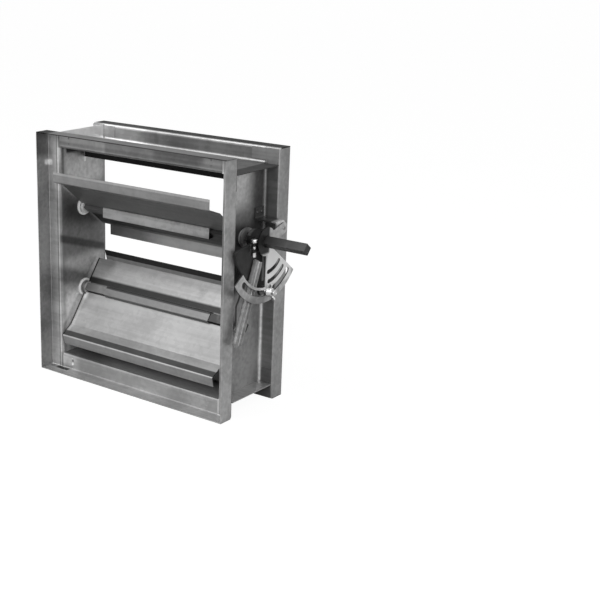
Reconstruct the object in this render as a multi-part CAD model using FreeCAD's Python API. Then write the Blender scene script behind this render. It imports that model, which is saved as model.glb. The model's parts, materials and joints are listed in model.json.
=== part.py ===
import FreeCAD, Part
import math
import os
from FreeCAD import Vector as V

os.makedirs("parts", exist_ok=True)

# Frame: X along the shafts (operating side at +X), Y along the duct (front at -Y), Z up.
# The origin is the middle of the base, so the shafts lie in the plane Y = 0.

# Duct opening and sheet
opening_w = 300.0
opening_h = 320.0
depth = 100.0
sheet = 1.2
flange = 24.0
lip = 24.0
web_bend = 3.6
lip_bend = 1.0
lip_fit = 0.2
relief_out = 4.0
relief_long = 37.0
relief_wide = 9.0

# Blades, measured along the sheet from the shaft's axis
pitch = 129.0
rest_angle = 40.0
lower_rest_angle = 54.0
front_body = 62.5
front_strip = 23.5
strip_angle = 20.0
front_lip = 14.5
front_lip_angle = 50.0
rear_lip = 16.0
lip_angle = 49.0
blade_gap = 1.2
blade_play = 4.0
front_cut = 1.5
rear_cut = 16.0
blade_bend = 1.5

# Square shafts and their seat in the blades
bar = 12.0
seat_gap = 0.5
seat_bend = 0.5
saddle_in_left = 49.0
saddle_in_right = 51.0
saddle_wing = 1.8
bar_out_left = 8.0
upper_bar_out = 106.0
lower_bar_out = 9.0

# Bearings
running = 0.05
bush_r = 10.0
bush_in = 2.4
bush_neck = 5.6
bush_neck_r = 9.2
neck_room = 0.8
bush_out = 4.4
bearing_disc_r = 14.0
bearing_disc_t = 1.5
bearing_boss_r = 11.6
bearing_boss_out = 4.0
end_plate = 20.0
end_plate_t = 1.2
end_gap = 0.3

# Corner plates and stops
corner_leg = 44.0
corner_wide = 16.5
corner_t = 1.5
corner_in = 0.4
stop_drop = 20.0
stop_foot = 18.0
stop_gap = 0.5

# Cranks and link bar
crank_r = 20.0
crank_out = 5.0
crank_t = 4.0
crank_hub_r = 14.5
crank_eye_r = 7.0
link_gap = 0.6
link_t = 3.0
link_wide = 10.0
link_eye_r = 7.0
link_straight = 34.0
pin_r = 3.0
pin_head_r = 5.0
pin_head_t = 2.2
slot_wall = 3.2
slot_play = 0.7

# Quadrant hub and hand lever, angles counted from the rear (+Y) towards the top
hub_out = 16.5
hub_long = 20.5
hub_r = 14.5
fan_back = 9.5
fan_rib_t = 5.0
fan_web_t = 2.8
fan_r = 58.0
fan_rim = 5.0
fan_low = -172.0
fan_high = -80.0
ear_angle = -85.0
lock_reach = 14.0
ear_r = 8.5
lever_at = -112.0
lever_from = 27.0
lever_to = 150.0
lever_wide = 16.0
lever_high = 6.0
lever_t = 1.6
lever_pad = 48.0
clamp_off = 2.0
clamp_y = 18.5
clamp_r = 3.0
clamp_high = 1.5
clamp_lug = 5.0
clamp_slit = 4.0
clamp_tip = 6.0
clamp_head_r = 5.0
clamp_head_t = 4.0

# Locking plate
plate_gap = 2.0
plate_t = 2.0
plate_edge = 14.0
plate_band = 8.0
plate_hub_r = 20.0
plate_margin_rear = 7.0
plate_full = -92.0
plate_margin_front = 11.0
slot_margin = 9.0
lock_slot_w = 8.8
slot_w = 6.2
slot_step = 14.0
bolt_r = 4.0
bracket_y = 40.0
bracket_z = 12.0
bracket_wide = 16.0
bracket_t = 2.0

# Derived places
base = 0.0
bottom = flange
top = bottom + opening_h
height = top + flange
half_w = opening_w / 2
half_d = depth / 2
lip_x = half_w + flange
lip_y = half_d + lip
middle = bottom + opening_h / 2
upper_z = middle + pitch / 2
lower_z = middle - pitch / 2
web_out = half_w + sheet
side_low = sheet + lip_fit
blade_end = half_w - blade_play
close_travel = 90.0 - rest_angle
open_travel = rest_angle
follow = (90.0 - lower_rest_angle) / close_travel
saddle_left = saddle_in_left - half_w
saddle_right = half_w - saddle_in_right
bar_left = -half_w - bar_out_left
upper_bar_right = half_w + upper_bar_out
lower_bar_right = half_w + lower_bar_out
crank_from = half_w + crank_out
crank_to = crank_from + crank_t
link_from = crank_to + link_gap
link_to = link_from + link_t
hub_from = half_w + hub_out
hub_to = hub_from + hub_long
fan_from = hub_from + fan_back
fan_to = fan_from + fan_rib_t
fan_web_from = fan_to - fan_web_t
clamp_x = fan_to + clamp_off
plate_from = hub_to + plate_gap
plate_to = plate_from + plate_t
plate_rear = ear_angle + open_travel + plate_margin_rear
plate_front = ear_angle - close_travel - plate_margin_front
lock_r = fan_r + lock_reach
plate_r = lock_r + plate_edge
plate_band_r = lock_r - plate_band


def deg(value):
    return math.radians(value)


def spot(axis, p, q, along):
    if axis == "x":
        return V(along, p, q)
    if axis == "y":
        return V(p, along, q)
    return V(p, q, along)


def run(axis, length):
    if axis == "x":
        return V(length, 0, 0)
    if axis == "y":
        return V(0, length, 0)
    return V(0, 0, length)


def box(x0, x1, y0, y1, z0, z1):
    return Part.makeBox(x1 - x0, y1 - y0, z1 - z0, V(x0, y0, z0))


def rod(axis, p, q, low, high, radius):
    return Part.makeCylinder(radius, high - low, spot(axis, p, q, low), run(axis, 1))


def prism(axis, points, low, high):
    corners = [spot(axis, p, q, low) for p, q in points]
    wire = Part.makePolygon(corners + [corners[0]])
    return Part.Face(wire).extrude(run(axis, high - low))


def join(shapes):
    whole = shapes[0]
    for shape in shapes[1:]:
        whole = whole.fuse(shape)
    return whole.removeSplitter()


def save(name, shape):
    shape.exportStep("parts/" + name + ".step")


# One sheet folded along a line of corners: p and q are the corners of its middle surface
def folded(axis, points, low, high, bends, thick=sheet):
    half = thick / 2
    count = len(points)
    dirs = []
    for i in range(count - 1):
        dp = points[i + 1][0] - points[i][0]
        dq = points[i + 1][1] - points[i][1]
        size = math.hypot(dp, dq)
        dirs.append((dp / size, dq / size))
    sides = []
    for side in (1, -1):
        marks = []
        first = (points[0][0] - dirs[0][1] * half * side, points[0][1] + dirs[0][0] * half * side)
        marks.append(("point", first))
        for i in range(1, count - 1):
            d0 = dirs[i - 1]
            d1 = dirs[i]
            swing = math.atan2(d0[0] * d1[1] - d0[1] * d1[0], d0[0] * d1[0] + d0[1] * d1[1])
            sign = 1 if swing > 0 else -1
            centre_r = bends[i - 1] + half
            back = centre_r * math.tan(abs(swing) / 2)
            touch = (points[i][0] - d0[0] * back, points[i][1] - d0[1] * back)
            centre = (touch[0] - d0[1] * centre_r * sign, touch[1] + d0[0] * centre_r * sign)
            radius = centre_r - side * sign * half
            arm = ((touch[0] - centre[0]) / centre_r, (touch[1] - centre[1]) / centre_r)
            arc = []
            for share in (0, 0.5, 1):
                c = math.cos(swing * share)
                s = math.sin(swing * share)
                arc.append((centre[0] + radius * (arm[0] * c - arm[1] * s),
                            centre[1] + radius * (arm[0] * s + arm[1] * c)))
            marks.append(("arc", arc))
        last = (points[-1][0] - dirs[-1][1] * half * side, points[-1][1] + dirs[-1][0] * half * side)
        marks.append(("point", last))
        sides.append(marks)
    left = sides[0]
    right = []
    for kind, data in reversed(sides[1]):
        right.append((kind, list(reversed(data)) if kind == "arc" else data))
    edges = []
    pen = None
    for kind, data in left + right + [left[0]]:
        start = data[0] if kind == "arc" else data
        here = spot(axis, start[0], start[1], low)
        if pen is not None and (here - pen).Length > 1e-6:
            edges.append(Part.makeLine(pen, here))
        pen = here
        if kind == "arc":
            via = spot(axis, data[1][0], data[1][1], low)
            end = spot(axis, data[2][0], data[2][1], low)
            edges.append(Part.Arc(here, via, end).toShape())
            pen = end
    return Part.Face(Part.Wire(edges)).extrude(run(axis, high - low))


def polar(angle, radius):
    return (radius * math.cos(deg(angle)), radius * math.sin(deg(angle)))


# A sector of a ring about the upper shaft, in the plane across X
def sector(r0, r1, a0, a1, low, high):
    steps = max(2, int(abs(a1 - a0) / 90) + 2)
    whole = []
    ring = rod("x", 0, 0, low, high, r1)
    if r0 > 0:
        ring = ring.cut(rod("x", 0, 0, low - 1, high + 1, r0))
    for i in range(steps):
        b0 = a0 + (a1 - a0) * i / steps
        b1 = a0 + (a1 - a0) * (i + 1) / steps
        far = r1 * 1.6
        wedge = prism("x", [(0, 0), polar(b0, far), polar(b1, far)], low, high)
        whole.append(ring.common(wedge))
    return join(whole)


def arc_slot(radius, wide, a0, a1, low, high):
    parts = [sector(radius - wide / 2, radius + wide / 2, a0, a1, low, high)]
    for angle in (a0, a1):
        p, q = polar(angle, radius)
        parts.append(rod("x", p, q, low, high, wide / 2))
    return join(parts)


# A flat bar with round ends along a line of corners
def capsule(axis, points, wide, low, high):
    parts = []
    for i, (p, q) in enumerate(points):
        parts.append(rod(axis, p, q, low, high, wide / 2))
        if i:
            p0, q0 = points[i - 1]
            size = math.hypot(p - p0, q - q0)
            n = (-(q - q0) / size * wide / 2, (p - p0) / size * wide / 2)
            corners = [(p0 + n[0], q0 + n[1]), (p + n[0], q + n[1]), (p - n[0], q - n[1]), (p0 - n[0], q0 - n[1])]
            parts.append(prism(axis, corners, low, high))
    return join(parts)


# Casing: folded side channels between the lips of the cross channels, which run the full width
channel = [(half_w + flange - sheet / 2, -lip_y), (half_w + flange - sheet / 2, -half_d + sheet / 2),
           (half_w + sheet / 2, -half_d + sheet / 2), (half_w + sheet / 2, half_d - sheet / 2),
           (half_w + flange - sheet / 2, half_d - sheet / 2), (half_w + flange - sheet / 2, lip_y)]
channel_bends = [lip_bend, web_bend, web_bend, lip_bend]
side = folded("z", channel, side_low, height - side_low, channel_bends)
for z0, z1 in ((base - 1, bottom), (top, height + 1)):
    side = side.cut(box(half_w - 1, half_w + web_bend + sheet, -half_d - 1, half_d + 1, z0, z1))
    z0, z1 = max(z0, side_low), min(z1, height - side_low)
    for face in (-half_d, half_d - sheet):
        ledge = box(half_w + 0.1, half_w + web_bend + sheet + 0.5, face, face + sheet, z0, z1)
        side = side.fuse(ledge)
side = side.removeSplitter()
for z in (upper_z, lower_z):
    side = side.cut(rod("x", 0, z, half_w - 2, web_out + 2, bearing_boss_r))

cross = []
for p, q in channel:
    cross.append((q, p - half_w + top))
cross_rail = folded("x", cross, -lip_x, lip_x, channel_bends)
fold_y = half_d + lip_bend + lip_fit
for x0, x1 in ((-lip_x - 1, -half_w), (half_w, lip_x + 1)):
    cross_rail = cross_rail.cut(box(x0, x1, -fold_y, fold_y, top - 1, height + 1))
tongue_y = half_d - sheet - corner_t - lip_fit
web_tongue = box(-lip_x, lip_x, -tongue_y, tongue_y, top, top + sheet)
top_rail = cross_rail.fuse(web_tongue)
for way in (-1, 1):
    x0, x1 = sorted((way * half_w, way * (lip_x + 1)))
    for y0, y1 in ((-half_d - 1, -half_d + sheet + 0.1), (half_d - sheet - 0.1, half_d + 1)):
        top_rail = top_rail.cut(box(x0, x1, y0, y1, top - 1, top + flange))
top_rail = top_rail.removeSplitter()

# Blade stops: folded angles, their upright leg just behind the closed blade's lip
tip_back = front_lip * math.sin(deg(front_lip_angle)) - front_strip * math.sin(deg(strip_angle))
stop_y = tip_back + sheet / 2 * math.cos(deg(front_lip_angle)) + stop_gap
stop_line = [(stop_y + sheet / 2, top - stop_drop), (stop_y + sheet / 2, top - sheet / 2),
             (stop_y + stop_foot, top - sheet / 2)]
top_stop = folded("x", stop_line, -half_w + 0.5, half_w - 0.5, [lip_bend])

# Corner plates behind the flanges
edge_x = lip_x - sheet - corner_in
edge_z = height - sheet - corner_in
corner_points = [(edge_x, edge_z), (edge_x - corner_leg, edge_z), (edge_x - corner_leg, edge_z - corner_wide),
                 (edge_x - corner_wide, edge_z - corner_wide), (edge_x - corner_wide, edge_z - corner_leg),
                 (edge_x, edge_z - corner_leg)]
corner = prism("y", corner_points, -half_d + sheet, -half_d + sheet + corner_t)


def mirrored(shape, normal, at=V(0, 0, 0)):
    return shape.mirror(at, normal)


def four_corners(shape):
    low = mirrored(shape, V(0, 0, 1), V(0, 0, middle))
    found = {}
    for tall, piece in (("top", shape), ("bottom", low)):
        found[tall + "_right"] = piece
        found[tall + "_left"] = mirrored(piece, V(1, 0, 0))
    return found


corner_set = four_corners(corner)
for name, piece in corner_set.items():
    save("front_corner_" + name, piece)
    save("rear_corner_" + name, mirrored(piece, V(0, 1, 0)))
bottom_rail = mirrored(top_rail, V(0, 0, 1), V(0, 0, middle))
relief = box(-lip_x + relief_out, -lip_x + relief_out + relief_long, -fold_y - relief_wide, -fold_y, base - 1, base + 2 * sheet)
bottom_rail = bottom_rail.cut(relief)
left_side = mirrored(side, V(1, 0, 0))
save("top_channel", top_rail)
save("bottom_channel", bottom_rail)
save("side_channel_left", left_side)
save("top_stop", top_stop)
save("bottom_stop", mirrored(top_stop, V(0, 0, 1), V(0, 0, middle)))


# Blades: one folded sheet each. Its groove is pressed round the square bar, the front edge
# steps back in two folds and the rear edge folds forward, so the edges meet without touching.
# Local frame: Y towards the front edge, Z towards the saddle.
def slant(angle, size):
    return (size * math.cos(deg(angle)), size * math.sin(deg(angle)))


half_bar = bar / 2
reach = pitch / 2 - blade_gap
rear_body = math.sqrt(reach ** 2 - (rear_lip * math.sin(deg(lip_angle))) ** 2) - rear_lip * math.cos(deg(lip_angle))
groove_side = half_bar + seat_gap + sheet / 2
groove_floor = -(half_bar + sheet / 2)
lip_p, lip_q = slant(lip_angle, rear_lip)
strip_p, strip_q = slant(strip_angle, front_strip)
tip_p, tip_q = slant(-front_lip_angle, front_lip)
blade_line = [(-rear_body - lip_p, lip_q), (-rear_body, 0), (-groove_side, 0), (-groove_side, groove_floor),
              (groove_side, groove_floor), (groove_side, 0), (front_body, 0),
              (front_body + strip_p, strip_q), (front_body + strip_p + tip_p, strip_q + tip_q)]
bends = [blade_bend, seat_bend, seat_bend, seat_bend, seat_bend, blade_bend, blade_bend]
blade = folded("x", blade_line, -blade_end, blade_end, bends)
for way in (-1, 1):
    x0 = way * (blade_end + 1)
    x1 = way * blade_end
    lip_end = way * (blade_end - front_cut)
    edge_end = way * (blade_end - rear_cut)
    front = [(x0, front_body), (x1, front_body), (lip_end, front_body + strip_p), (lip_end, pitch), (x0, pitch)]
    rear = [(x0, -rear_body + 1), (edge_end, -rear_body + 1), (edge_end, -pitch), (x0, -pitch)]
    blade = blade.cut(prism("z", front, -flange, flange))
    blade = blade.cut(prism("z", rear, -flange, flange))
    neck = sorted((x0, way * (half_w - bush_in - bush_neck - neck_room)))
    blade = blade.cut(box(neck[0], neck[1], -bush_r - neck_room, bush_r + neck_room, -flange, flange))

saddle_side = half_bar + seat_gap + sheet / 2
saddle_line = [(-saddle_side - saddle_wing, sheet), (-saddle_side, sheet), (-saddle_side, half_bar + sheet / 2),
               (saddle_side, half_bar + sheet / 2), (saddle_side, sheet), (saddle_side + saddle_wing, sheet)]
saddle = folded("x", saddle_line, saddle_left, saddle_right, [seat_bend] * 4)


# Turned to the rest angle and set on the upper shaft; the lower set is mirrored and stands steeper
def on_upper(shape, angle=rest_angle):
    placed = shape.copy()
    placed.rotate(V(0, 0, 0), V(1, 0, 0), 180.0 - angle)
    placed.translate(V(0, 0, upper_z))
    return placed


def on_lower(shape):
    return mirrored(on_upper(shape, lower_rest_angle), V(0, 0, 1), V(0, 0, middle))


def square(low, high):
    return box(low, high, -half_bar, half_bar, -half_bar, half_bar)


for name, shape in (("blade", blade), ("saddle", saddle)):
    save("upper_" + name, on_upper(shape))
    save("lower_" + name, on_lower(shape))
save("upper_shaft", on_upper(square(bar_left, upper_bar_right)))
save("lower_shaft", on_lower(square(bar_left, lower_bar_right)))

# Bearings: flanged ring through the wall, round bush with a square bore, end plate on the bar
bush = rod("x", 0, 0, half_w - bush_in, half_w + bush_out, bush_r)
bush = bush.fuse(rod("x", 0, 0, half_w - bush_in - bush_neck, half_w - bush_in, bush_neck_r))
bush = bush.cut(square(0, -bar_left))
ring = rod("x", 0, 0, half_w - bearing_disc_t, half_w, bearing_disc_r)
ring = ring.fuse(rod("x", 0, 0, half_w, half_w + bearing_boss_out, bearing_boss_r))
ring = ring.cut(rod("x", 0, 0, half_w - 5, half_w + 2 * bearing_boss_out, bush_r + running)).removeSplitter()
plate_in = half_w + bush_out + end_gap
retainer = box(plate_in, plate_in + end_plate_t, -end_plate / 2, end_plate / 2, -end_plate / 2, end_plate / 2)
retainer = retainer.cut(square(half_w, -bar_left))
for name, place in (("upper", on_upper), ("lower", on_lower)):
    save(name + "_bearings", Part.makeCompound([place(ring), mirrored(place(ring), V(1, 0, 0))]))
    save(name + "_bushes", Part.makeCompound([place(bush), mirrored(place(bush), V(1, 0, 0))]))
    save(name + "_end_plate", mirrored(place(retainer), V(1, 0, 0)))

# Cranks: both pins go down as the blades close, the upper one at the rear, the lower at the front
swing = (close_travel + open_travel) / 2
lead = close_travel - swing
low_r = crank_r * math.sin(deg(swing)) / math.sin(deg(swing * follow))
pin_y, pin_z = polar(lead, crank_r)
low_pin_y, low_pin_z = polar(180.0 - lead * follow, low_r)
upper_crank = rod("x", 0, upper_z, crank_from, crank_to, crank_hub_r)
upper_crank = upper_crank.fuse(capsule("x", [(0, upper_z), (pin_y, upper_z + pin_z)], crank_eye_r * 2, crank_from, crank_to))
lower_crank = rod("x", 0, lower_z, crank_from, crank_to, crank_hub_r)
lower_crank = lower_crank.fuse(capsule("x", [(0, lower_z), (low_pin_y, lower_z + low_pin_z)], crank_eye_r * 2, crank_from, crank_to))
upper_crank = upper_crank.cut(on_upper(square(crank_from, crank_to))).removeSplitter()
lower_crank = lower_crank.cut(on_lower(square(crank_from, crank_to))).removeSplitter()
upper_crank = upper_crank.cut(rod("x", pin_y, upper_z + pin_z, crank_from, crank_to, pin_r))
lower_crank = lower_crank.cut(rod("x", low_pin_y, lower_z + low_pin_z, crank_from, crank_to, pin_r))
save("upper_crank", upper_crank)
save("lower_crank", lower_crank)

# Link bar: round eye on the upper pin, level slot for the lower pin's small sideways drift
drift = (crank_r * (1 - math.cos(deg(swing))) + low_r * (1 - math.cos(deg(swing * follow)))) / 2
slot_y = pin_y - crank_r - low_r + drift
link_low_z = lower_z + low_pin_z
link_high_z = upper_z + pin_z
link_line = [(pin_y, link_high_z), (pin_y, link_high_z - link_straight), (slot_y, link_low_z + link_straight), (slot_y, link_low_z)]
link = capsule("x", link_line, link_wide, link_from, link_to)
link = link.fuse(rod("x", pin_y, link_high_z, link_from, link_to, link_eye_r))
block = [(slot_y - drift, link_low_z), (slot_y + drift, link_low_z)]
link = link.fuse(capsule("x", block, (pin_r + slot_play + slot_wall) * 2, link_from, link_to))
link = link.cut(rod("x", pin_y, link_high_z, link_from, link_to, pin_r + running))
link = link.cut(capsule("x", block, (pin_r + slot_play) * 2, link_from - 1, link_to + 1)).removeSplitter()
save("link_bar", link)


def link_pin(y, z):
    head_from = link_to + 0.3
    pin = rod("x", y, z, crank_from, head_from + pin_head_t, pin_r)
    head = rod("x", y, z, head_from, head_from + pin_head_t, pin_head_r)
    return pin.fuse(head).removeSplitter()


save("upper_link_pin", link_pin(pin_y, link_high_z))
save("lower_link_pin", link_pin(low_pin_y, link_low_z))


# Quadrant hub: cast fan with a raised rim and edge ribs, an ear for the locking bolt and a pad
# for the hand lever. Drawn about the shaft, then raised to it.
def raised(shape):
    placed = shape.copy()
    placed.translate(V(0, 0, upper_z))
    return placed


ear = polar(ear_angle, lock_r)
hub_parts = [rod("x", 0, 0, hub_from, hub_to, hub_r)]
hub_parts.append(sector(hub_r - 3, fan_r, fan_low, fan_high, fan_web_from, fan_to))
hub_parts.append(sector(fan_r - fan_rim, fan_r, fan_low, fan_high, fan_from, fan_to))
for angle in (fan_low, fan_high):
    hub_parts.append(capsule("x", [polar(angle, hub_r - 2), polar(angle, fan_r - fan_rim / 2)], fan_rim, fan_from, fan_to))
hub_parts.append(capsule("x", [polar(ear_angle, fan_r - 8), ear], ear_r * 2, fan_web_from, fan_to))
hub_parts.append(capsule("x", [polar(lever_at, hub_r - 2), polar(lever_at, lever_pad)], lever_wide, fan_from, fan_to))
hub = join(hub_parts)
hub = hub.cut(rod("x", ear[0], ear[1], fan_from - 1, fan_to + 1, bolt_r))

# Split clamp on the hub's front: two lugs, a slit between them and a bolt down through both
slit_to = clamp_high - clamp_lug
slit_from = slit_to - clamp_slit
lug_from = slit_from - clamp_lug
lug_y = clamp_y + clamp_head_r + 1.0
hub = hub.fuse(box(fan_to - 1, hub_to, -lug_y, -half_bar, lug_from, clamp_high))
hub = hub.cut(box(fan_to, hub_to + 1, -lug_y - 1, 0, slit_from, slit_to))
hub = hub.cut(rod("z", clamp_x, -clamp_y, lug_from - clamp_tip - 1, clamp_high + 1, clamp_r + running))
hub = hub.cut(rod("z", clamp_x, -clamp_y, clamp_high, hub_r + 1, clamp_head_r + 0.3))
hub = raised(hub).cut(on_upper(square(hub_from - 1, hub_to + 1))).removeSplitter()
save("quadrant_hub", hub)
hexagon = [(clamp_x + clamp_head_r * math.cos(deg(60 * i)), clamp_head_r * math.sin(deg(60 * i)) - clamp_y) for i in range(6)]
clamp_bolt = rod("z", clamp_x, -clamp_y, lug_from - clamp_tip, clamp_high, clamp_r)
clamp_bolt = clamp_bolt.fuse(prism("z", hexagon, clamp_high, clamp_high + clamp_head_t))
save("hub_clamp_bolt", raised(clamp_bolt.removeSplitter()))

# Hand lever: pressed channel, its web on the hub's pad, both flanges outwards, its end rounded
side_w = lever_wide / 2 - lever_t / 2
lever_section = [(lever_high, -side_w), (lever_t / 2, -side_w), (lever_t / 2, side_w), (lever_high, side_w)]
lever = folded("y", lever_section, lever_from, lever_to, [0.8, 0.8], lever_t)
lever = lever.common(capsule("x", [(lever_from + 6, 0), (lever_to - lever_wide / 2, 0)], lever_wide, 0, lever_high))
lever.rotate(V(0, 0, 0), V(1, 0, 0), lever_at)
lever.translate(V(fan_to, 0, 0))
save("hand_lever", raised(lever))

# Locking plate: fixed fan outside the hub with three arc slots, riveted to its bracket
plate_parts = [sector(0, plate_r, plate_full, plate_rear, plate_from, plate_to)]
plate_parts.append(sector(plate_band_r, plate_r, plate_front, plate_full, plate_from, plate_to))
plate_parts.append(rod("x", 0, 0, plate_from, plate_to, plate_hub_r))
bracket_tip = (bracket_y, bracket_z)
plate_parts.append(capsule("x", [(0, 0), bracket_tip], bracket_wide, plate_from, plate_to))
plate = join(plate_parts)
play = math.degrees(0.6 / lock_r)
plate = plate.cut(arc_slot(lock_r, lock_slot_w, ear_angle - close_travel - play, ear_angle + open_travel + play,
                           plate_from - 1, plate_to + 1))
for radius in (lock_r - slot_step, lock_r - 2 * slot_step):
    plate = plate.cut(arc_slot(radius, slot_w, plate_full + slot_margin, plate_rear - slot_margin, plate_from - 1, plate_to + 1))
corner_reach = half_bar * math.sqrt(2)
plate = plate.cut(rod("x", 0, 0, plate_from - 1, plate_to + 1, corner_reach + running))
save("locking_plate", raised(plate))

# Stand-off bracket: foot on the side channel's web, level arm, tab behind the plate
arm_z = bracket_z + bracket_wide / 2 + bracket_t / 2
foot_z = arm_z + bracket_wide
bracket_line = [(web_out + bracket_t / 2, foot_z), (web_out + bracket_t / 2, arm_z), (plate_from - bracket_t / 2, arm_z),
                (plate_from - bracket_t / 2, bracket_z - bracket_wide / 2)]
bracket = folded("y", bracket_line, bracket_y - bracket_wide + 1, bracket_y + 5.0, [2.0, 2.0], bracket_t)
save("side_channel_right", side)
save("plate_bracket", raised(bracket))

# Locking bolt: thin hexagon head behind the ear, round shoulder up to the plate, shank through
# the outer slot,
# and the wing nut that clamps the plate against the shoulder
bolt_head_t = 2.2
shoulder_to = plate_from - 0.3
nut_from = plate_to + 0.3
nut_high = 7.0
bolt = rod("x", ear[0], ear[1], fan_web_from - bolt_head_t, nut_from + nut_high + 4.0, bolt_r)
bolt_head = [(ear[0] + bolt_r * 1.8 * math.cos(deg(60 * i)), ear[1] + bolt_r * 1.8 * math.sin(deg(60 * i))) for i in range(6)]
bolt = bolt.fuse(prism("x", bolt_head, fan_web_from - bolt_head_t, fan_web_from))
bolt = bolt.fuse(rod("x", ear[0], ear[1], fan_to, shoulder_to, bolt_r * 1.7))
save("locking_bolt", raised(bolt.removeSplitter()))
nut = Part.makeCylinder(bolt_r * 1.8, nut_high, V(0, 0, 0), V(1, 0, 0))
for way in (-1, 1):
    wing_line = [(1.0, 0), (1.0, way * 7.0), (5.0, way * 13.5), (9.5, way * 13.5), (9.5, way * 10.0), (nut_high - 1, 0)]
    wing = [V(a, -1.2, b) for a, b in wing_line]
    nut = nut.fuse(Part.Face(Part.makePolygon(wing + [wing[0]])).extrude(V(0, 2.4, 0)))
nut = nut.cut(rod("x", 0, 0, -1, 20, bolt_r + running)).removeSplitter()
nut.rotate(V(0, 0, 0), V(1, 0, 0), 20.0)
nut.translate(V(nut_from, ear[0], ear[1]))
save("wing_nut", raised(nut))
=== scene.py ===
import bpy, bmesh, json, math
from mathutils import Matrix, Vector


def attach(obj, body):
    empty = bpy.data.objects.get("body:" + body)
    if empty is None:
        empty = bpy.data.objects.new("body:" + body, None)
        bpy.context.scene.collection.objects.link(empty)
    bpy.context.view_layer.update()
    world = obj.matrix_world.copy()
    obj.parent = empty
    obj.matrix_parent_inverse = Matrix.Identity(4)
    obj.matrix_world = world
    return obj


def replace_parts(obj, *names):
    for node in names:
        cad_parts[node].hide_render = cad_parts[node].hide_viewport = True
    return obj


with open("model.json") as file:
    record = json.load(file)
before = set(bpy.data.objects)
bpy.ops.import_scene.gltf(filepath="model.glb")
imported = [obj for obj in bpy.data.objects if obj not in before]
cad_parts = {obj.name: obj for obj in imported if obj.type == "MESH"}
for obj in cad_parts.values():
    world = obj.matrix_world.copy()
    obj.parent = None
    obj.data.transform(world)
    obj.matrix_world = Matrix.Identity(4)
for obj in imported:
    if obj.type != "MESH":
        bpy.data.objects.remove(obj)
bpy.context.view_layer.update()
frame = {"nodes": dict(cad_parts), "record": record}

nodes = frame["nodes"]
MM = 0.001
WHITE = (1.0, 1.0, 1.0, 1.0)


# A value in a material: the operators add Math nodes
class Value:
    def __init__(self, finish, socket):
        self.finish = finish
        self.socket = socket

    def math(self, operation, *others):
        node = self.finish.add("ShaderNodeMath", {"operation": operation},
                               dict(enumerate((self, *others))))
        return Value(self.finish, node.outputs[0])

    def __add__(self, other):
        return self.math("ADD", other)

    def __sub__(self, other):
        return self.math("SUBTRACT", other)

    def __rsub__(self, other):
        return self * -1.0 + other

    def __mul__(self, other):
        return self.math("MULTIPLY", other)

    def clamp(self):
        return self.math("MAXIMUM", 0.0).math("MINIMUM", 1.0)

    # Smooth step: to_low below low, to_high above high
    def band(self, low, high, to_low=0.0, to_high=1.0):
        node = self.finish.add("ShaderNodeMapRange", {"interpolation_type": "SMOOTHSTEP"},
                               {"Value": self, "From Min": low, "From Max": high,
                                "To Min": to_low, "To Max": to_high})
        return Value(self.finish, node.outputs[0])


# One procedural finish on a Principled BSDF, in the object's own coordinates
class Finish:
    def __init__(self, name, metallic):
        self.material = bpy.data.materials.new(name)
        self.material.use_nodes = True
        self.tree = self.material.node_tree
        self.shader = self.tree.nodes["Principled BSDF"]
        self.shader.inputs["Metallic"].default_value = metallic
        self.place = self.add("ShaderNodeTexCoord", {}, {}).outputs["Object"]

    def add(self, kind, settings, links):
        node = self.tree.nodes.new(kind)
        for key, value in settings.items():
            setattr(node, key, value)
        for key, value in links.items():
            self.feed(node.inputs[key], value)
        return node

    def feed(self, socket, value):
        if isinstance(value, Value):
            value = value.socket
        if isinstance(value, bpy.types.NodeSocket):
            self.tree.links.new(value, socket)
        else:
            socket.default_value = value

    def mapped(self, scale=(1.0, 1.0, 1.0), rotation=(0.0, 0.0, 0.0), shift=(0.0, 0.0, 0.0)):
        node = self.add("ShaderNodeMapping", {},
                        {"Vector": self.place, "Scale": scale,
                         "Rotation": rotation, "Location": shift})
        return node.outputs[0]

    def noise(self, where, scale, detail=3.0, rough=0.5, warp=0.0):
        node = self.add("ShaderNodeTexNoise", {},
                        {"Vector": where, "Scale": scale, "Detail": detail,
                         "Roughness": rough, "Distortion": warp})
        return Value(self, node.outputs[0])

    def cells(self, where, scale):
        node = self.add("ShaderNodeTexVoronoi", {"feature": "F1"},
                        {"Vector": where, "Scale": scale})
        parts = self.add("ShaderNodeSeparateColor", {}, {0: node.outputs["Color"]})
        return Value(self, parts.outputs[0])

    # How much light a place takes: the product of soft boxes, each with its own gain
    def zoned(self, zones):
        axes = self.add("ShaderNodeSeparateXYZ", {}, {0: self.place})
        place = {letter: Value(self, axes.outputs[i]) * (1 / MM) for i, letter in enumerate("xyz")}
        whole = None
        for gain, soft, limits in zones:
            mask = None
            for letter, (low, high) in limits.items():
                if letter == "slant":
                    where = place["z"] + place["y"] * SLANT
                else:
                    where = place[letter]
                off = (where - (low + high) / 2).math("ABSOLUTE")
                half = (high - low) / 2
                part = off.band(max(0.0, half - soft), half + soft, 1.0, 0.0)
                mask = part if mask is None else mask * part
            factor = mask * (gain - 1.0) + 1.0
            whole = factor if whole is None else whole * factor
        return whole

    def mixed(self, share, low, high):
        node = self.add("ShaderNodeMix", {"data_type": "RGBA"}, {0: share, 6: low, 7: high})
        return node.outputs[2]

    def bump(self, height, strength, distance):
        node = self.add("ShaderNodeBump", {},
                        {"Height": height, "Strength": strength, "Distance": distance})
        self.feed(self.shader.inputs["Normal"], node.outputs[0])

    def paint(self, colour, rough):
        self.feed(self.shader.inputs["Base Color"], colour)
        self.feed(self.shader.inputs["Roughness"], rough)


def grey(level):
    return (level, level, level, 1.0)


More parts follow.
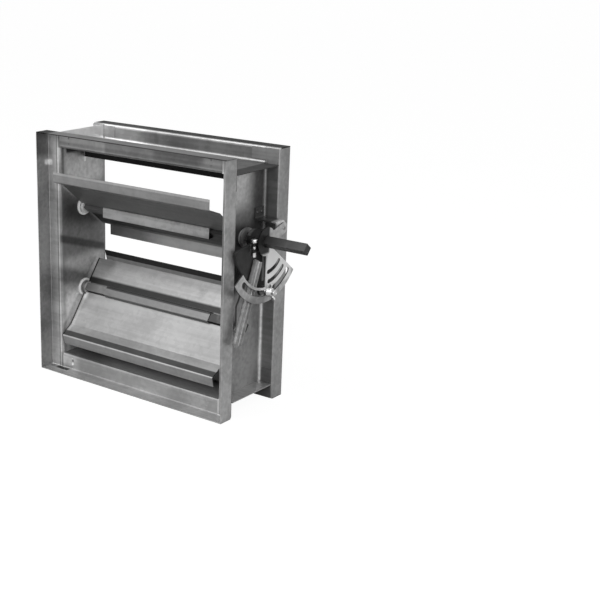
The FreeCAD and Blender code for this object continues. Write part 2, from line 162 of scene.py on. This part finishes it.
SHEET_METALLIC = 0.7
BAR_METALLIC = 0.6
CAST_METALLIC = 0.4
ALONG = (0.0, 0.0, 0.0)
UPRIGHT = (0.0, math.radians(90), 0.0)
ROLLING = (1.0, 34.0, 34.0)
HAIRLINES = (5.0, 300.0, 300.0)
DRAWING = (2.0, 160.0, 160.0)
STAIN_SHIFT = (3.0, 1.0, 2.0)
PALEST_SHEET = 0.92


# Zinc-coated sheet: soft rolling streaks, cloudy dull patches, faint spangle and a few stains.
# spread is how far the tone varies, dull the roughness, edge the mirroring at a low angle
def zinc_sheet(name, level, streaks_run=ALONG, spread=0.2, dull=0.4, zones=(), edge=1.0):
    made = Finish(name, SHEET_METALLIC)
    made.shader.inputs["Specular IOR Level"].default_value = 0.5 * edge
    made.shader.inputs["Specular Tint"].default_value = grey(edge)
    streaks = made.noise(made.mapped(ROLLING, streaks_run), 5.0)
    fine = made.noise(made.mapped(HAIRLINES, streaks_run), 5.0, detail=2.0)
    clouds = made.noise(made.place, 14.0, detail=4.0, rough=0.55, warp=0.6)
    flakes = made.cells(made.place, 170.0)
    stains = made.noise(made.mapped(shift=STAIN_SHIFT), 22.0, detail=5.0, rough=0.6, warp=0.8)
    stains = stains.band(0.6, 0.78)
    tone = (streaks * 0.36 + clouds * 0.5 + fine * 0.06 + flakes * 0.08).band(0.34, 0.66)
    shade = (tone * (2 * spread) + (1 - spread)) * (1.0 - stains * 0.2) * level
    # Painted light and shade from the zones
    if zones:
        shade = shade * made.zoned(zones)
    rough = clouds.band(0.3, 0.7, dull - 0.05, dull + 0.08) + stains * 0.08
    made.paint(shade.math("MINIMUM", PALEST_SHEET), rough)
    height = streaks * 0.25 + fine * 0.12 + flakes * 0.2 + clouds * 0.6
    made.bump(height, strength=0.1, distance=0.6 * MM)
    return made.material


# Square bar: dark mill skin with drawing lines and rubbed spots
def mill_bar(name, level, zones):
    made = Finish(name, BAR_METALLIC)
    lines = made.noise(made.mapped(DRAWING), 5.0, rough=0.6)
    rubs = made.noise(made.place, 60.0, detail=4.0, rough=0.6).band(0.5, 0.72)
    shade = ((lines * 0.4 + rubs * 0.4).clamp() + 1.0) * level
    made.paint(shade * made.zoned(zones), rubs.band(0.0, 1.0, 0.5, 0.38))
    made.bump(lines * 0.4 + rubs * 0.3, strength=0.15, distance=0.5 * MM)
    return made.material


# Sand-cast iron with a dark skin
def cast_iron(name, level, zones=()):
    made = Finish(name, CAST_METALLIC)
    grain = made.noise(made.place, 700.0, rough=0.6)
    lumps = made.noise(made.place, 90.0)
    shade = ((grain * 0.5 + lumps * 0.5).band(0.35, 0.7) * 1.2 + 1.0) * level
    if zones:
        shade = shade * made.zoned(zones)
    made.paint(shade, grain.band(0.3, 0.7, 0.36, 0.5))
    made.bump(grain * 0.6 + lumps * 0.6, strength=0.3, distance=0.6 * MM)
    return made.material


# Turned and plated fasteners: bright with fine rings and small marks
def plated(name, level):
    made = Finish(name, 1.0)
    marks = made.noise(made.place, 260.0, detail=4.0, rough=0.6)
    haze = made.noise(made.place, 70.0, detail=2.0)
    share = (marks * 0.5 + haze * 0.5).band(0.3, 0.7)
    made.paint(made.mixed(share, grey(level * 0.72), grey(level)), haze.band(0.3, 0.7, 0.2, 0.36))
    made.bump(marks, strength=0.12, distance=0.3 * MM)
    return made.material


# Moulded plastic of the bearing rings
def moulded(name, level):
    made = Finish(name, 0.0)
    skin = made.noise(made.place, 500.0)
    clouds = made.noise(made.place, 60.0, detail=2.0)
    colour = made.mixed(clouds.band(0.3, 0.7), grey(level), grey(level * 1.25))
    made.paint(colour, skin.band(0.3, 0.7, 0.42, 0.55))
    made.bump(skin, strength=0.1, distance=0.3 * MM)
    return made.material


# Painted light and shade on each sheet, in mm: (gain, softness, limits): painted highlights on
# folds and edges, painted shadows under rails, in recesses and between parts, and painted
# reflections on the walls and blades. A slant limit is on the height of a line that rises towards
# the front
SLANT = 0.312
left_lip = {"x": (-176, -172.7), "y": (-80, -50.4)}
left_flange = {"x": (-173, -153), "y": (-51, -48)}
left_web = {"x": (-152, -149), "y": (-45, 46)}
left_web_wide = {"x": (-152, -149), "y": (-60, 60)}
# Left channel: painted shadow under the top rail and at the lip's top, painted reflections of the
# blades on the web, painted highlights on the bends
left_zones = [
    (1.42, 1.0, left_lip),
    (0.35, 7.0, {**left_lip, "z": (330, 372)}),
    (2.4, 2.5, {"x": (-176, -166), "y": (-58, -48), "z": (317, 324)}),
    (2.5, 1.0, {"x": (-172.6, -153), "y": (-51, -48)}),
    (0.62, 14.0, {**left_flange, "z": (110, 292)}),
    (0.85, 14.0, {**left_flange, "z": (10, 110)}),
    (1.1, 2.5, {"x": (-154.5, -149), "y": (-51, -45.5)}),
    (0.5, 0.8, {"x": (-157.2, -155), "y": (-51, -48)}),
    (0.9, 2.0, {"x": (-174.4, -170.6), "y": (-51.5, -49)}),
    (0.4, 1.6, {"x": (-152, -149), "y": (-45.5, -41), "z": (290, 345)}),
    (2.4, 14.0, {**left_web, "z": (262, 352)}),
    (0.8, 12.0, {**left_web, "z": (178, 262)}),
    (0.4, 14.0, {**left_web, "z": (228, 282)}),
    (2.0, 9.0, {**left_web, "z": (14, 172)}),
    (1.5, 9.0, {"x": (-152, -149), "y": (-45, -10), "z": (24, 112)}),
    (0.35, 3.0, {**left_web_wide, "slant": (184, 196)}),
    (0.45, 8.0, {**left_web_wide, "slant": (120, 146)}),
    (0.06, 2.4, {"x": (-152, -149), "y": (-36, 46), "z": (334, 346)}),
    (6.0, 0.8, {"x": (-152, -149), "y": (3.4, 6.0), "z": (317, 338)}),
    (0.7, 12.0, {"x": (-176, -172.7), "y": (-80, -46), "z": (60, 150)}),
]
right_web = {"x": (150.6, 152)}
right_zones = [
    (1.3, 1.0, {"x": (172.7, 176), "y": (-80, -50.4)}),
    (1.9, 1.5, {"x": (149, 153), "y": (-51, -46)}),
    (2.1, 12.0, {**right_web, "y": (-48, 10), "z": (290, 345)}),
    (0.75, 26.0, {**right_web, "y": (-60, 60), "z": (190, 318)}),
    (0.3, 10.0, {**right_web, "y": (-50, 30), "z": (170, 268)}),
    (0.4, 8.0, {**right_web, "y": (22, 60), "z": (180, 350)}),
    (0.66, 1.0, {"x": (153, 172), "y": (46, 51)}),
    (2.0, 1.2, {"x": (150.6, 154.5), "y": (44, 51)}),
    (1.15, 1.0, {"x": (172.7, 176), "y": (50.4, 80)}),
]
top_zones = [
    (1.1, 0.5, {"y": (-80, -50.8), "z": (366.5, 370)}),
    (0.3, 0.6, {"y": (-80, -72.4), "z": (360, 370)}),
    (1.5, 2.0, {"y": (-52, -48), "z": (354, 364)}),
    (0.12, 2.5, {"x": (-180, -152), "y": (-80, -50.8), "z": (360, 370)}),
    (0.12, 0.6, {"y": (52.5, 80), "z": (366.5, 370)}),
    (2.6, 1.0, {"y": (48, 52.5), "z": (364.5, 370)}),
    (2.4, 30.0, {"x": (-176, -70), "y": (48, 51), "z": (346, 366)}),
    (0.3, 0.7, {"y": (44, 51), "z": (341, 345.4)}),
    (1.9, 1.2, {"y": (44, 51), "z": (344, 349)}),
    (1.5, 3.0, {"x": (-176, -60), "y": (-52, -48), "z": (346, 368)}),
    (1.5, 1.2, {"y": (-52, -46), "z": (344, 348.5)}),
    (0.6, 6.0, {"x": (30, 120), "y": (-52, -48), "z": (352, 368)}),
    (1.4, 6.0, {"x": (112, 150), "y": (-52, -48), "z": (344, 360)}),
    (0.4, 1.0, {"x": (151, 180), "y": (-47.5, 47.5), "z": (343, 346)}),
]
relief_side = {"x": (-131, -127.5), "y": (-52, -48)}
bottom_zones = [
    (1.6, 0.6, {"y": (-46, 46), "z": (22, 25)}),
    (1.6, 1.0, {"y": (-52, -48), "z": (0, 24)}),
    (0.7, 1.2, {"y": (-52, -46), "z": (20, 25)}),
    (1.7, 0.6, {"y": (-80, -51.4), "z": (-1, 2)}),
    (1.5, 8.0, {"x": (-160, -120), "y": (-52, -48), "z": (0, 24)}),
    (0.4, 0.8, {**relief_side, "z": (13, 17)}),
    (2.0, 0.8, {**relief_side, "z": (8, 12)}),
    (0.14, 2.0, {"x": (-152, 150), "y": (-47, 46), "z": (22, 25)}),
]
rear_lip = {"y": (28, 42), "z": (196, 219)}
upper_blade_zones = [
    (1.6, 0.8, {"y": (-72, -60), "z": (296, 314)}),
    (1.3, 6.0, {"x": (-150, -128), "y": (-72, -60), "z": (296, 314)}),
    (1.6, 0.5, {"y": (-74, -68), "z": (308, 314)}),
    (0.3, 3.0, {"z": (224, 241)}),
    (1.35, 1.5, rear_lip),
    (1.6, 25.0, {"x": (-40, 180), **rear_lip}),
    (0.7, 12.0, {"x": (-150, -60), **rear_lip}),
    (0.4, 1.0, {"y": (20, 42), "z": (219, 224)}),
]
# Lower blade: painted reflection of the upper blade's dark underside along the rear lip's top,
# painted shade above the saddle, in the fold and at the left end, painted light on the strip, and a
# painted glint near the left end
lower_blade_zones = [
    (0.08, 0.8, {"y": (20, 34), "z": (168, 180)}),
    (0.85, 3.0, {"y": (10, 34), "z": (152, 168)}),
    (0.08, 1.6, {"y": (-8, 14), "z": (126.5, 135)}),
    (0.8, 40.0, {"x": (90, 150), "y": (-50, -8), "z": (62, 118)}),
    (1.42, 0.5, {"y": (-60, -36), "z": (62, 69.4)}),
    (0.27, 0.5, {"y": (-60, -40), "z": (56.6, 62)}),
    (1.5, 0.4, {"y": (-60, -46), "z": (54.8, 57)}),
    (2.0, 4.0, {"x": (-145, -136), "y": (-14, -4), "z": (105, 116)}),
    (1.3, 2.0, {"x": (-142, -138), "y": (-50, 0), "z": (60, 116)}),
    (0.1, 0.7, {"x": (-148, -143.4), "z": (20, 200)}),
]
# Inner sheets: painted shadow on the blade stop's front face, painted light on the rear flange
inner_zones = [
    (0.1, 0.5, {"y": (2, 23), "z": (322, 346)}),
    (3.4, 0.5, {"x": (-180, 0), "y": (40, 50), "z": (345, 368)}),
    (1.8, 0.5, {"x": (0, 180), "y": (40, 50), "z": (345, 368)}),
]
# Painted highlights on the hub's rims and ribs
hub_highlight_zones = [
    (14.0, 0.8, {"x": (179.5, 182), "y": (4.5, 9.5), "z": (190, 234)}),
    (10.0, 0.8, {"x": (186.0, 188), "y": (-16, -2), "z": (252, 262)}),
    (5.0, 1.0, {"x": (166, 172), "y": (-16, 2), "z": (256, 264)}),
]
# Locking plate: painted shade round the hub, at its lower part and on its edge, painted light at
# its rear
plate_zones = [
    (0.06, 2.0, {"y": (-24, 6), "z": (232, 272)}),
    (0.6, 6.0, {"y": (-80, 0), "z": (150, 176)}),
    (2.2, 5.0, {"y": (2, 60), "z": (186, 238)}),
    (0.12, 0.6, {"x": (188.8, 190.7)}),
]
# Saddles: painted shade on their lower faces and edges
upper_saddle_zones = [(0.1, 0.4, {"y": (-8.6, 20)})]
lower_saddle_zones = [
    (0.9, 0.6, {"z": (110, 131)}),
    (0.2, 0.5, {"z": (126.6, 131)}),
    (0.75, 1.5, {"z": (110, 115)}),
]
# Bracket: painted light on its outer part; its low level is painted shade
bracket_light_zones = [(6.0, 2.0, {"x": (180, 192)})]
bar_zones = [(3.0, 1.5, {"x": (-160, -100)})]
bush_zones = [(1.6, 1.0, {"x": (-149, -145)})]
# Painted shadow on the tab seen through the relief
relief_shadow_zones = [(0.05, 1.5, {"x": (-158, -130)})]

# The sheets are one zinc finish at different levels: lit and shaded copies, darker inside the duct
# and on the upper blade's underside, lighter on the lower blade's face, as painted light and shade
finishes = {
    "zinc_left": zinc_sheet("zinc_left", 0.26, UPRIGHT, zones=left_zones),
    "zinc_right": zinc_sheet("zinc_right", 0.32, UPRIGHT, zones=right_zones),
    "zinc_top": zinc_sheet("zinc_top", 0.22, zones=top_zones, edge=0.3),
    "zinc_bottom": zinc_sheet("zinc_bottom", 0.25, zones=bottom_zones),
    "zinc_inner": zinc_sheet("zinc_inner", 0.16, zones=inner_zones),
    "web_end": zinc_sheet("web_end", 0.8, spread=0.06),
    "blade_upper": zinc_sheet("blade_upper", 0.17, spread=0.14, zones=upper_blade_zones),
    "blade_lower": zinc_sheet("blade_lower", 0.3, spread=0.15, zones=lower_blade_zones),
    "saddle_upper": zinc_sheet("saddle_upper", 0.36, spread=0.3, zones=upper_saddle_zones),
    "saddle_lower": zinc_sheet("saddle_lower", 0.19, spread=0.14, zones=lower_saddle_zones),
    "plate_sheet": zinc_sheet("plate_sheet", 0.6, spread=0.24, dull=0.34, zones=plate_zones),
    "lever_sheet": zinc_sheet("lever_sheet", 0.36, spread=0.3, dull=0.42),
    "bracket_sheet": zinc_sheet("bracket_sheet", 0.08, dull=0.45, zones=bracket_light_zones),
    "plain_steel": zinc_sheet("plain_steel", 0.3, spread=0.15, dull=0.38),
    "dark_bar": mill_bar("dark_bar", 0.04, bar_zones),
    # The cast finishes are near black: the iron's dark skin, and painted shade of the recess by the
    # side wall
    "cast_dark": cast_iron("cast_dark", 0.016),
    "cast_hub": cast_iron("cast_hub", 0.014, hub_highlight_zones),
    "bearing_pale": moulded("bearing_pale", 0.5),
    "bush_pale": moulded("bush_pale", 0.4),
    "bush_grey": mill_bar("bush_grey", 0.12, bush_zones),
    "relief_shade": zinc_sheet("relief_shade", 0.3, spread=0.3, zones=relief_shadow_zones),
    "bearing_rim": moulded("bearing_rim", 0.75),
    "plated": plated("plated_bright", 0.85),
}
finish_of_node = {
    "side_channel_left": "zinc_left",
    "side_channel_right": "zinc_right",
    "top_channel": "zinc_top",
    "bottom_channel": "zinc_bottom",
    "upper_blade": "blade_upper",
    "lower_blade": "blade_lower",
    "upper_saddle": "saddle_upper",
    "lower_saddle": "saddle_lower",
    "hand_lever": "lever_sheet",
    "plate_bracket": "bracket_sheet",
    "locking_plate": "plate_sheet",
}
finish_of_slot = {
    "zinc_sheet": "zinc_inner",
    "bearing_dark": "bearing_pale",
    "bush_brass": "bush_pale",
}

for entry in frame["record"]["subparts"]:
    name, slot = entry["node"], entry["material_slot"]
    finish = finish_of_node.get(name, finish_of_slot.get(slot, slot))
    nodes[name].data.materials.clear()
    nodes[name].data.materials.append(finishes[finish])

# Places on the part, in mm
shaft_z = 248.5
lower_shaft_z = 119.5
flange_face = 50.0
corner_x = 131.0
corner_heights = (8.0, 16.5, 351.5, 360.0)
stop_foot_y = 26.5
stop_feet = ((342.8, "-z"), (25.2, "z"))
web_outside = 153.2
plate_outside = 191.0
lever_outside = 182.6
lever_turn = math.radians(-112)
crank_outside = 165.1
bolt_end = 198.3
nut_seat = 191.3
wall_inside = 148.5
ear_y, ear_z = 6.275, 176.774
upper_pin = (19.924, 250.243)
lower_pin = (-26.340, 121.157)

AXES = {"x": Vector((1, 0, 0)), "y": Vector((0, 1, 0)), "z": Vector((0, 0, 1))}
THREAD_PITCH = 1.0
THREAD_DEPTH = 0.35


# A new piece from a mesh in work, with its finish and the body that it moves with
def settle(name, form, finish, body, smooth=True):
    bmesh.ops.remove_doubles(form, verts=form.verts, dist=0.005 * MM)
    bmesh.ops.recalc_face_normals(form, faces=form.faces)
    mesh = bpy.data.meshes.new(name)
    form.to_mesh(mesh)
    form.free()
    for face in mesh.polygons:
        face.use_smooth = smooth
    mesh.materials.append(finishes[finish])
    piece = bpy.data.objects.new(name, mesh)
    bpy.context.collection.objects.link(piece)
    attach(piece, body)
    return piece


def soften(form, edges, width):
    bmesh.ops.bevel(form, geom=edges, offset=width * MM, offset_type="OFFSET", segments=2,
                    profile=0.5, affect="EDGES", clamp_overlap=True, material=-1)


# A turned shape in mm: the profile holds (radius, height) pairs, spun round the axis
def turned(form, profile, centre, axis, steps=28, lift=0.0):
    way = AXES[axis.strip("-")] * (-1 if axis.startswith("-") else 1)
    side = way.orthogonal().normalized()
    centre = Vector(centre) * MM
    verts = [form.verts.new(centre + side * (r * MM) + way * (h * MM)) for r, h in profile]
    edges = [form.edges.new(pair) for pair in zip(verts, verts[1:])]
    bmesh.ops.spin(form, geom=verts + edges, cent=centre, axis=way, dvec=way * (lift * MM / steps),
                   angle=math.tau, steps=steps)


# Screw thread: a V profile wound round the axis
def thread(form, radius, turns, centre, axis):
    root = radius - THREAD_DEPTH
    for turn in range(turns):
        low = turn * THREAD_PITCH
        high = low + THREAD_PITCH
        turned(form, [(root, low), (radius, (low + high) / 2), (root, high)], centre, axis, 24,
               lift=THREAD_PITCH)


# Domed head of a rivet or clinch spot, seated on a face
def dome(form, radius, high, centre, axis, steps=16):
    sunk, rim = 0.15, 0.12
    profile = [(radius, -sunk), (radius, rim * high)]
    for degrees in range(18, 91, 18):
        swing = math.radians(degrees)
        profile.append((radius * math.cos(swing), high * (rim + (1 - rim) * math.sin(swing))))
    turned(form, profile, centre, axis, steps)


# Hexagon head with its corners turned off
def hexagon(form, radius, high, centre, axis):
    head = [(0, 0), (radius, 0), (radius, high * 0.82), (radius * 0.86, high), (0, high)]
    crown = [(radius * 0.8, high - 0.1), (radius * 0.78, high + 0.15), (0, high + 0.15)]
    turned(form, head, centre, axis, 6)
    turned(form, crown, centre, axis)


# Flat ring with its outer edges broken
def washer(form, inner, outer, thick, centre, axis):
    cut = 0.15
    profile = [(inner, 0), (outer - cut, 0), (outer, cut), (outer, thick - cut),
               (outer - cut, thick), (inner, thick), (inner, 0)]
    turned(form, profile, centre, axis, 32)


# Clinch spots where the corner plates hold the flanges
form = bmesh.new()
for y, axis in ((-flange_face, "-y"), (flange_face, "y")):
    for x in (-corner_x, corner_x):
        for z in corner_heights:
            dome(form, 1.7, 0.5, (x, y, z), axis, 12)
settle("corner_spots", form, "zinc_bottom", "casing")

# Blind rivets through the blade stops' feet
form = bmesh.new()
for x in (-120.0, -40.0, 40.0, 120.0):
    for z, axis in stop_feet:
        dome(form, 2.4, 0.9, (x, stop_foot_y, z), axis)
settle("stop_rivets", form, "plain_steel", "casing")

# Rivets of the plate's bracket: two in the web, one through the plate
form = bmesh.new()
for y in (30.0, 40.0):
    dome(form, 2.6, 1.1, (web_outside, y, shaft_z + 30.0), "x")
dome(form, 3.2, 1.3, (plate_outside, 40.0, shaft_z + 12.0), "x")
settle("bracket_rivets", form, "bracket_sheet", "casing")

# Lever rivets through the hub's pad
form = bmesh.new()
for reach in (34.0, 44.0):
    y = reach * math.cos(lever_turn)
    z = shaft_z + reach * math.sin(lever_turn)
    dome(form, 3.0, 1.3, (lever_outside, y, z), "x")
settle("lever_rivets", form, "lever_sheet", "upper_set")

# Push-on clips over the link pins
for name, pin in (("upper", upper_pin), ("lower", lower_pin)):
    form = bmesh.new()
    dome(form, 2.6, 0.5, (crank_outside, *pin), "x")
    settle(name + "_pin_clip", form, "plated", name + "_set")

# Locking bolt's threaded end
form = bmesh.new()
thread(form, 4.0, 4, (bolt_end, ear_y, ear_z), "x")
turned(form, [(3.7, 4.0), (3.0, 4.4), (0, 4.4)], (bolt_end, ear_y, ear_z), "x", 24)
settle("bolt_thread", form, "plated", "upper_set")

# Wing nut: turned body, two rounded wings
form = bmesh.new()
seat = Vector((nut_seat, ear_y, ear_z))
nut_body = [(4.1, 0), (7.2, 0), (7.2, 1.4), (6.2, 2.6), (5.6, 6.4), (5.2, 7.0), (4.1, 7.0)]
turned(form, nut_body, seat, "x", 36)
wing = [(1.2, 5.0), (1.4, 8.4), (4.2, 13.0), (6.6, 13.9), (9.0, 13.2), (9.4, 11.2), (8.2, 9.2),
        (6.4, 7.2), (5.6, 5.0)]
wing_thick = 2.4
nut_turn = Matrix.Rotation(math.radians(20), 3, "X")
for way in (-1, 1):
    outline = [form.verts.new((seat + nut_turn @ Vector((along, -wing_thick / 2, way * out))) * MM)
               for along, out in wing]
    grown = bmesh.ops.extrude_face_region(form, geom=[form.faces.new(outline)])
    moved = [v for v in grown["geom"] if isinstance(v, bmesh.types.BMVert)]
    bmesh.ops.translate(form, verts=moved, vec=nut_turn @ Vector((0, wing_thick * MM, 0)))
    corners = set(outline + moved)
    soften(form, [e for e in form.edges if not e.is_boundary and corners & set(e.verts)], 0.5)
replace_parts(settle("wing_nut_cast", form, "plated", "nut"), "wing_nut")

# Cast hub: the same form with its edges rounded as they leave the mould
cast = bpy.data.objects.new("quadrant_hub_cast", nodes["quadrant_hub"].data.copy())
bpy.context.collection.objects.link(cast)
steps = (
    ("REMESH", {"mode": "VOXEL", "voxel_size": 0.7 * MM}),
    ("SMOOTH", {"factor": 0.5, "iterations": 5}),
)
for kind, settings in steps:
    step = cast.modifiers.new(kind.lower(), kind)
    for key, value in settings.items():
        setattr(step, key, value)
rounded = bpy.data.meshes.new_from_object(cast.evaluated_get(bpy.context.evaluated_depsgraph_get()))
cast.modifiers.clear()
cast.data = rounded
for face in rounded.polygons:
    face.use_smooth = True
rounded.materials.clear()
rounded.materials.append(finishes["cast_hub"])
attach(cast, "upper_set")
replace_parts(cast, "quadrant_hub")

# Clamp bolt of the hub: hexagon head on a washer, threaded shank
form = bmesh.new()
clamp_x, clamp_y, clamp_z = 183.0, -18.5, shaft_z + 1.5
clamp_long, washer_thick = 20, 0.8
clamp = (clamp_x, clamp_y, clamp_z)
washer(form, 3.0, 5.2, washer_thick, clamp, "z")
hexagon(form, 4.9, 3.2, (clamp_x, clamp_y, clamp_z + washer_thick), "z")
thread(form, 3.0, clamp_long, clamp, "-z")
turned(form, [(2.65, clamp_long), (2.2, clamp_long + 0.3), (0, clamp_long + 0.3)], clamp, "-z", 24)
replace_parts(settle("clamp_bolt_cut", form, "plated", "upper_set"), "hub_clamp_bolt")

# Upper saddle: strip over the bar with its face upright, folded back to the blade at both edges.
# The line holds (y, z) pairs in mm from the shaft's axis
form = bmesh.new()
saddle_line = [(-8.8, 5.9), (-8.5, 5.2), (-9.1, 4.2), (-9.3, -8.6), (-8.9, -9.6), (-8.1, -9.9),
               (7.5, -7.9)]
saddle_ends = (-101.0, 99.0)
saddle_half = 0.5
outside, inside = [], []
for i, (y, z) in enumerate(saddle_line):
    before = Vector(saddle_line[max(0, i - 1)])
    after = Vector(saddle_line[min(len(saddle_line) - 1, i + 1)])
    along = (after - before).normalized() * saddle_half
    outside.append((y + along.y, z - along.x))
    inside.append((y - along.y, z + along.x))
loop = outside + inside[::-1]
near, far = [[form.verts.new(Vector((x, y, shaft_z + z)) * MM) for y, z in loop]
             for x in saddle_ends]
for i in range(len(loop)):
    j = (i + 1) % len(loop)
    form.faces.new((near[i], near[j], far[j], far[i]))
for end in (near, far):
    for i in range(len(outside) - 1):
        form.faces.new((end[i], end[i + 1], end[-2 - i], end[-1 - i]))
strip = settle("upper_saddle_strip", form, "saddle_upper", "upper_set", smooth=False)
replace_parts(strip, "upper_saddle")

# Bearings: rounded rim of each ring inside the duct, and the bush's collar in the blade's cut-out
rim_line = [(10.6, 0.1), (10.7, 1.5), (12.2, 1.6), (13.2, 1.4), (13.9, 0.8), (14.0, -0.3)]
collar_line = [(9.3, 1.2), (10.2, 1.4), (10.5, 1.9), (10.5, 5.8), (10.1, 6.4), (9.3, 6.5)]
for name, z, bush in (("upper", shaft_z, "bearing_pale"), ("lower", lower_shaft_z, "bush_grey")):
    rims = bmesh.new()
    collars = bmesh.new()
    for x, axis in ((-wall_inside, "x"), (wall_inside, "-x")):
        turned(rims, rim_line, (x, 0.0, z), axis, 40)
        turned(collars, collar_line, (x, 0.0, z), axis, 36)
    settle(name + "_bearing_rims", rims, "bearing_rim", "casing")
    settle(name + "_bush_collars", collars, bush, name + "_set")

# A slightly crowned sheet under the relief in the bottom lip, standing for the corner piece's tab
# and painted dark as the shadow seen through the slot
form = bmesh.new()
tab_middle = Vector((-153.0, -55.2, 0.3))
tab_long, tab_wide, tab_crown = 40.0, 12.6, 0.2
bmesh.ops.create_grid(form, x_segments=18, y_segments=4, size=0.5)
for v in form.verts:
    crown = tab_crown * math.cos(v.co.y * math.pi)
    v.co = (tab_middle + Vector((v.co.x * tab_long, v.co.y * tab_wide, crown))) * MM
settle("relief_shadow_tab", form, "relief_shade", "casing")

# Left side channel's web runs on between the flanges, up to the height of the lips
form = bmesh.new()
web_end_middle = Vector((-150.6, 0.0, 356.6))
web_end_size = Vector((1.1, 93.6, 22.0))
bmesh.ops.create_cube(form, size=1.0)
for v in form.verts:
    v.co = (web_end_middle + v.co * web_end_size) * MM
soften(form, form.edges[:], 0.3)
settle("left_web_end", form, "web_end", "casing", smooth=False)

# Floor: pale, a little brighter where the camera sees it, with the part's shadow on it
floor_mesh = bpy.data.meshes.new("floor")
form = bmesh.new()
bmesh.ops.create_grid(form, x_segments=1, y_segments=1, size=60.0)
form.to_mesh(floor_mesh)
form.free()
floor = bpy.data.objects.new("floor", floor_mesh)
bpy.context.collection.objects.link(floor)
pale = Finish("floor_pale", 0.0)
grain = pale.noise(pale.place, 3.0, detail=2.0)
pale.paint(pale.mixed(grain, grey(0.72), grey(0.76)), 0.9)
floor_mesh.materials.append(pale.material)
surface = pale.shader.outputs[0]
rays = pale.add("ShaderNodeLightPath", {}, {})
glow = pale.add("ShaderNodeEmission", {}, {"Color": WHITE, "Strength": 1.12})
bright = pale.add("ShaderNodeMixShader", {}, {0: 0.84, 1: surface, 2: glow.outputs[0]})
seen = pale.add("ShaderNodeMixShader", {},
                {0: rays.outputs["Is Camera Ray"], 1: surface, 2: bright.outputs[0]})
pale.feed(pale.tree.nodes["Material Output"].inputs["Surface"], seen.outputs[0])

# World: white where it is seen or mirrored, softer as light
world = bpy.data.worlds.new("studio")
bpy.context.scene.world = world
world.use_nodes = True
sky = world.node_tree
ground = sky.nodes["Background"]
ground.inputs["Color"].default_value = WHITE
rays = sky.nodes.new("ShaderNodeLightPath")
most = sky.nodes.new("ShaderNodeMath")
most.operation = "MAXIMUM"
sky.links.new(rays.outputs["Is Camera Ray"], most.inputs[0])
sky.links.new(rays.outputs["Is Glossy Ray"], most.inputs[1])
strength = sky.nodes.new("ShaderNodeMapRange")
strength.inputs["To Min"].default_value = 0.35
strength.inputs["To Max"].default_value = 1.0
sky.links.new(most.outputs[0], strength.inputs["Value"])
sky.links.new(strength.outputs[0], ground.inputs["Strength"])

# Lamps, in metres and watts, all aimed at the part's middle
middle = Vector((0.0, 0.0, 0.18))
for name, place, size, power in (
    ("key_lamp", (-0.6, -1.3, 1.7), 0.8, 18.0),
    ("side_lamp", (1.8, -0.6, 0.9), 0.8, 8.0),
    ("view_lamp", (1.0, -1.5, 1.0), 0.5, 8.0),
):
    data = bpy.data.lights.new(name, "AREA")
    data.energy = power
    data.size = size
    lamp = bpy.data.objects.new(name, data)
    lamp.location = place
    lamp.rotation_euler = (middle - Vector(place)).to_track_quat("-Z", "Y").to_euler()
    bpy.context.collection.objects.link(lamp)

# Camera at the photograph's place
eye = bpy.data.cameras.new("camera")
eye.sensor_width = 36.0
eye.lens = 71.776
eye.shift_x = 0.2189
eye.shift_y = -0.0114
eye.clip_start = 0.01
eye_place = Vector((1.08292, -1.30531, 0.64812))
yaw, pitch, roll = math.radians(39.170), math.radians(16.736), math.radians(0.488)
level_way = Vector((-math.sin(yaw), math.cos(yaw), 0.0))
forward = level_way * math.cos(pitch) - AXES["z"] * math.sin(pitch)
right = Vector((math.cos(yaw), math.sin(yaw), 0.0))
up = right.cross(forward)
across = right * math.cos(roll) + up * math.sin(roll)
above = up * math.cos(roll) - right * math.sin(roll)
eye_turn = Matrix((across, above, -forward)).transposed().to_4x4()
viewer = bpy.data.objects.new("camera", eye)
viewer.matrix_world = Matrix.Translation(eye_place) @ eye_turn
bpy.context.collection.objects.link(viewer)
bpy.context.scene.camera = viewer
bpy.context.scene.view_settings.view_transform = "Standard"
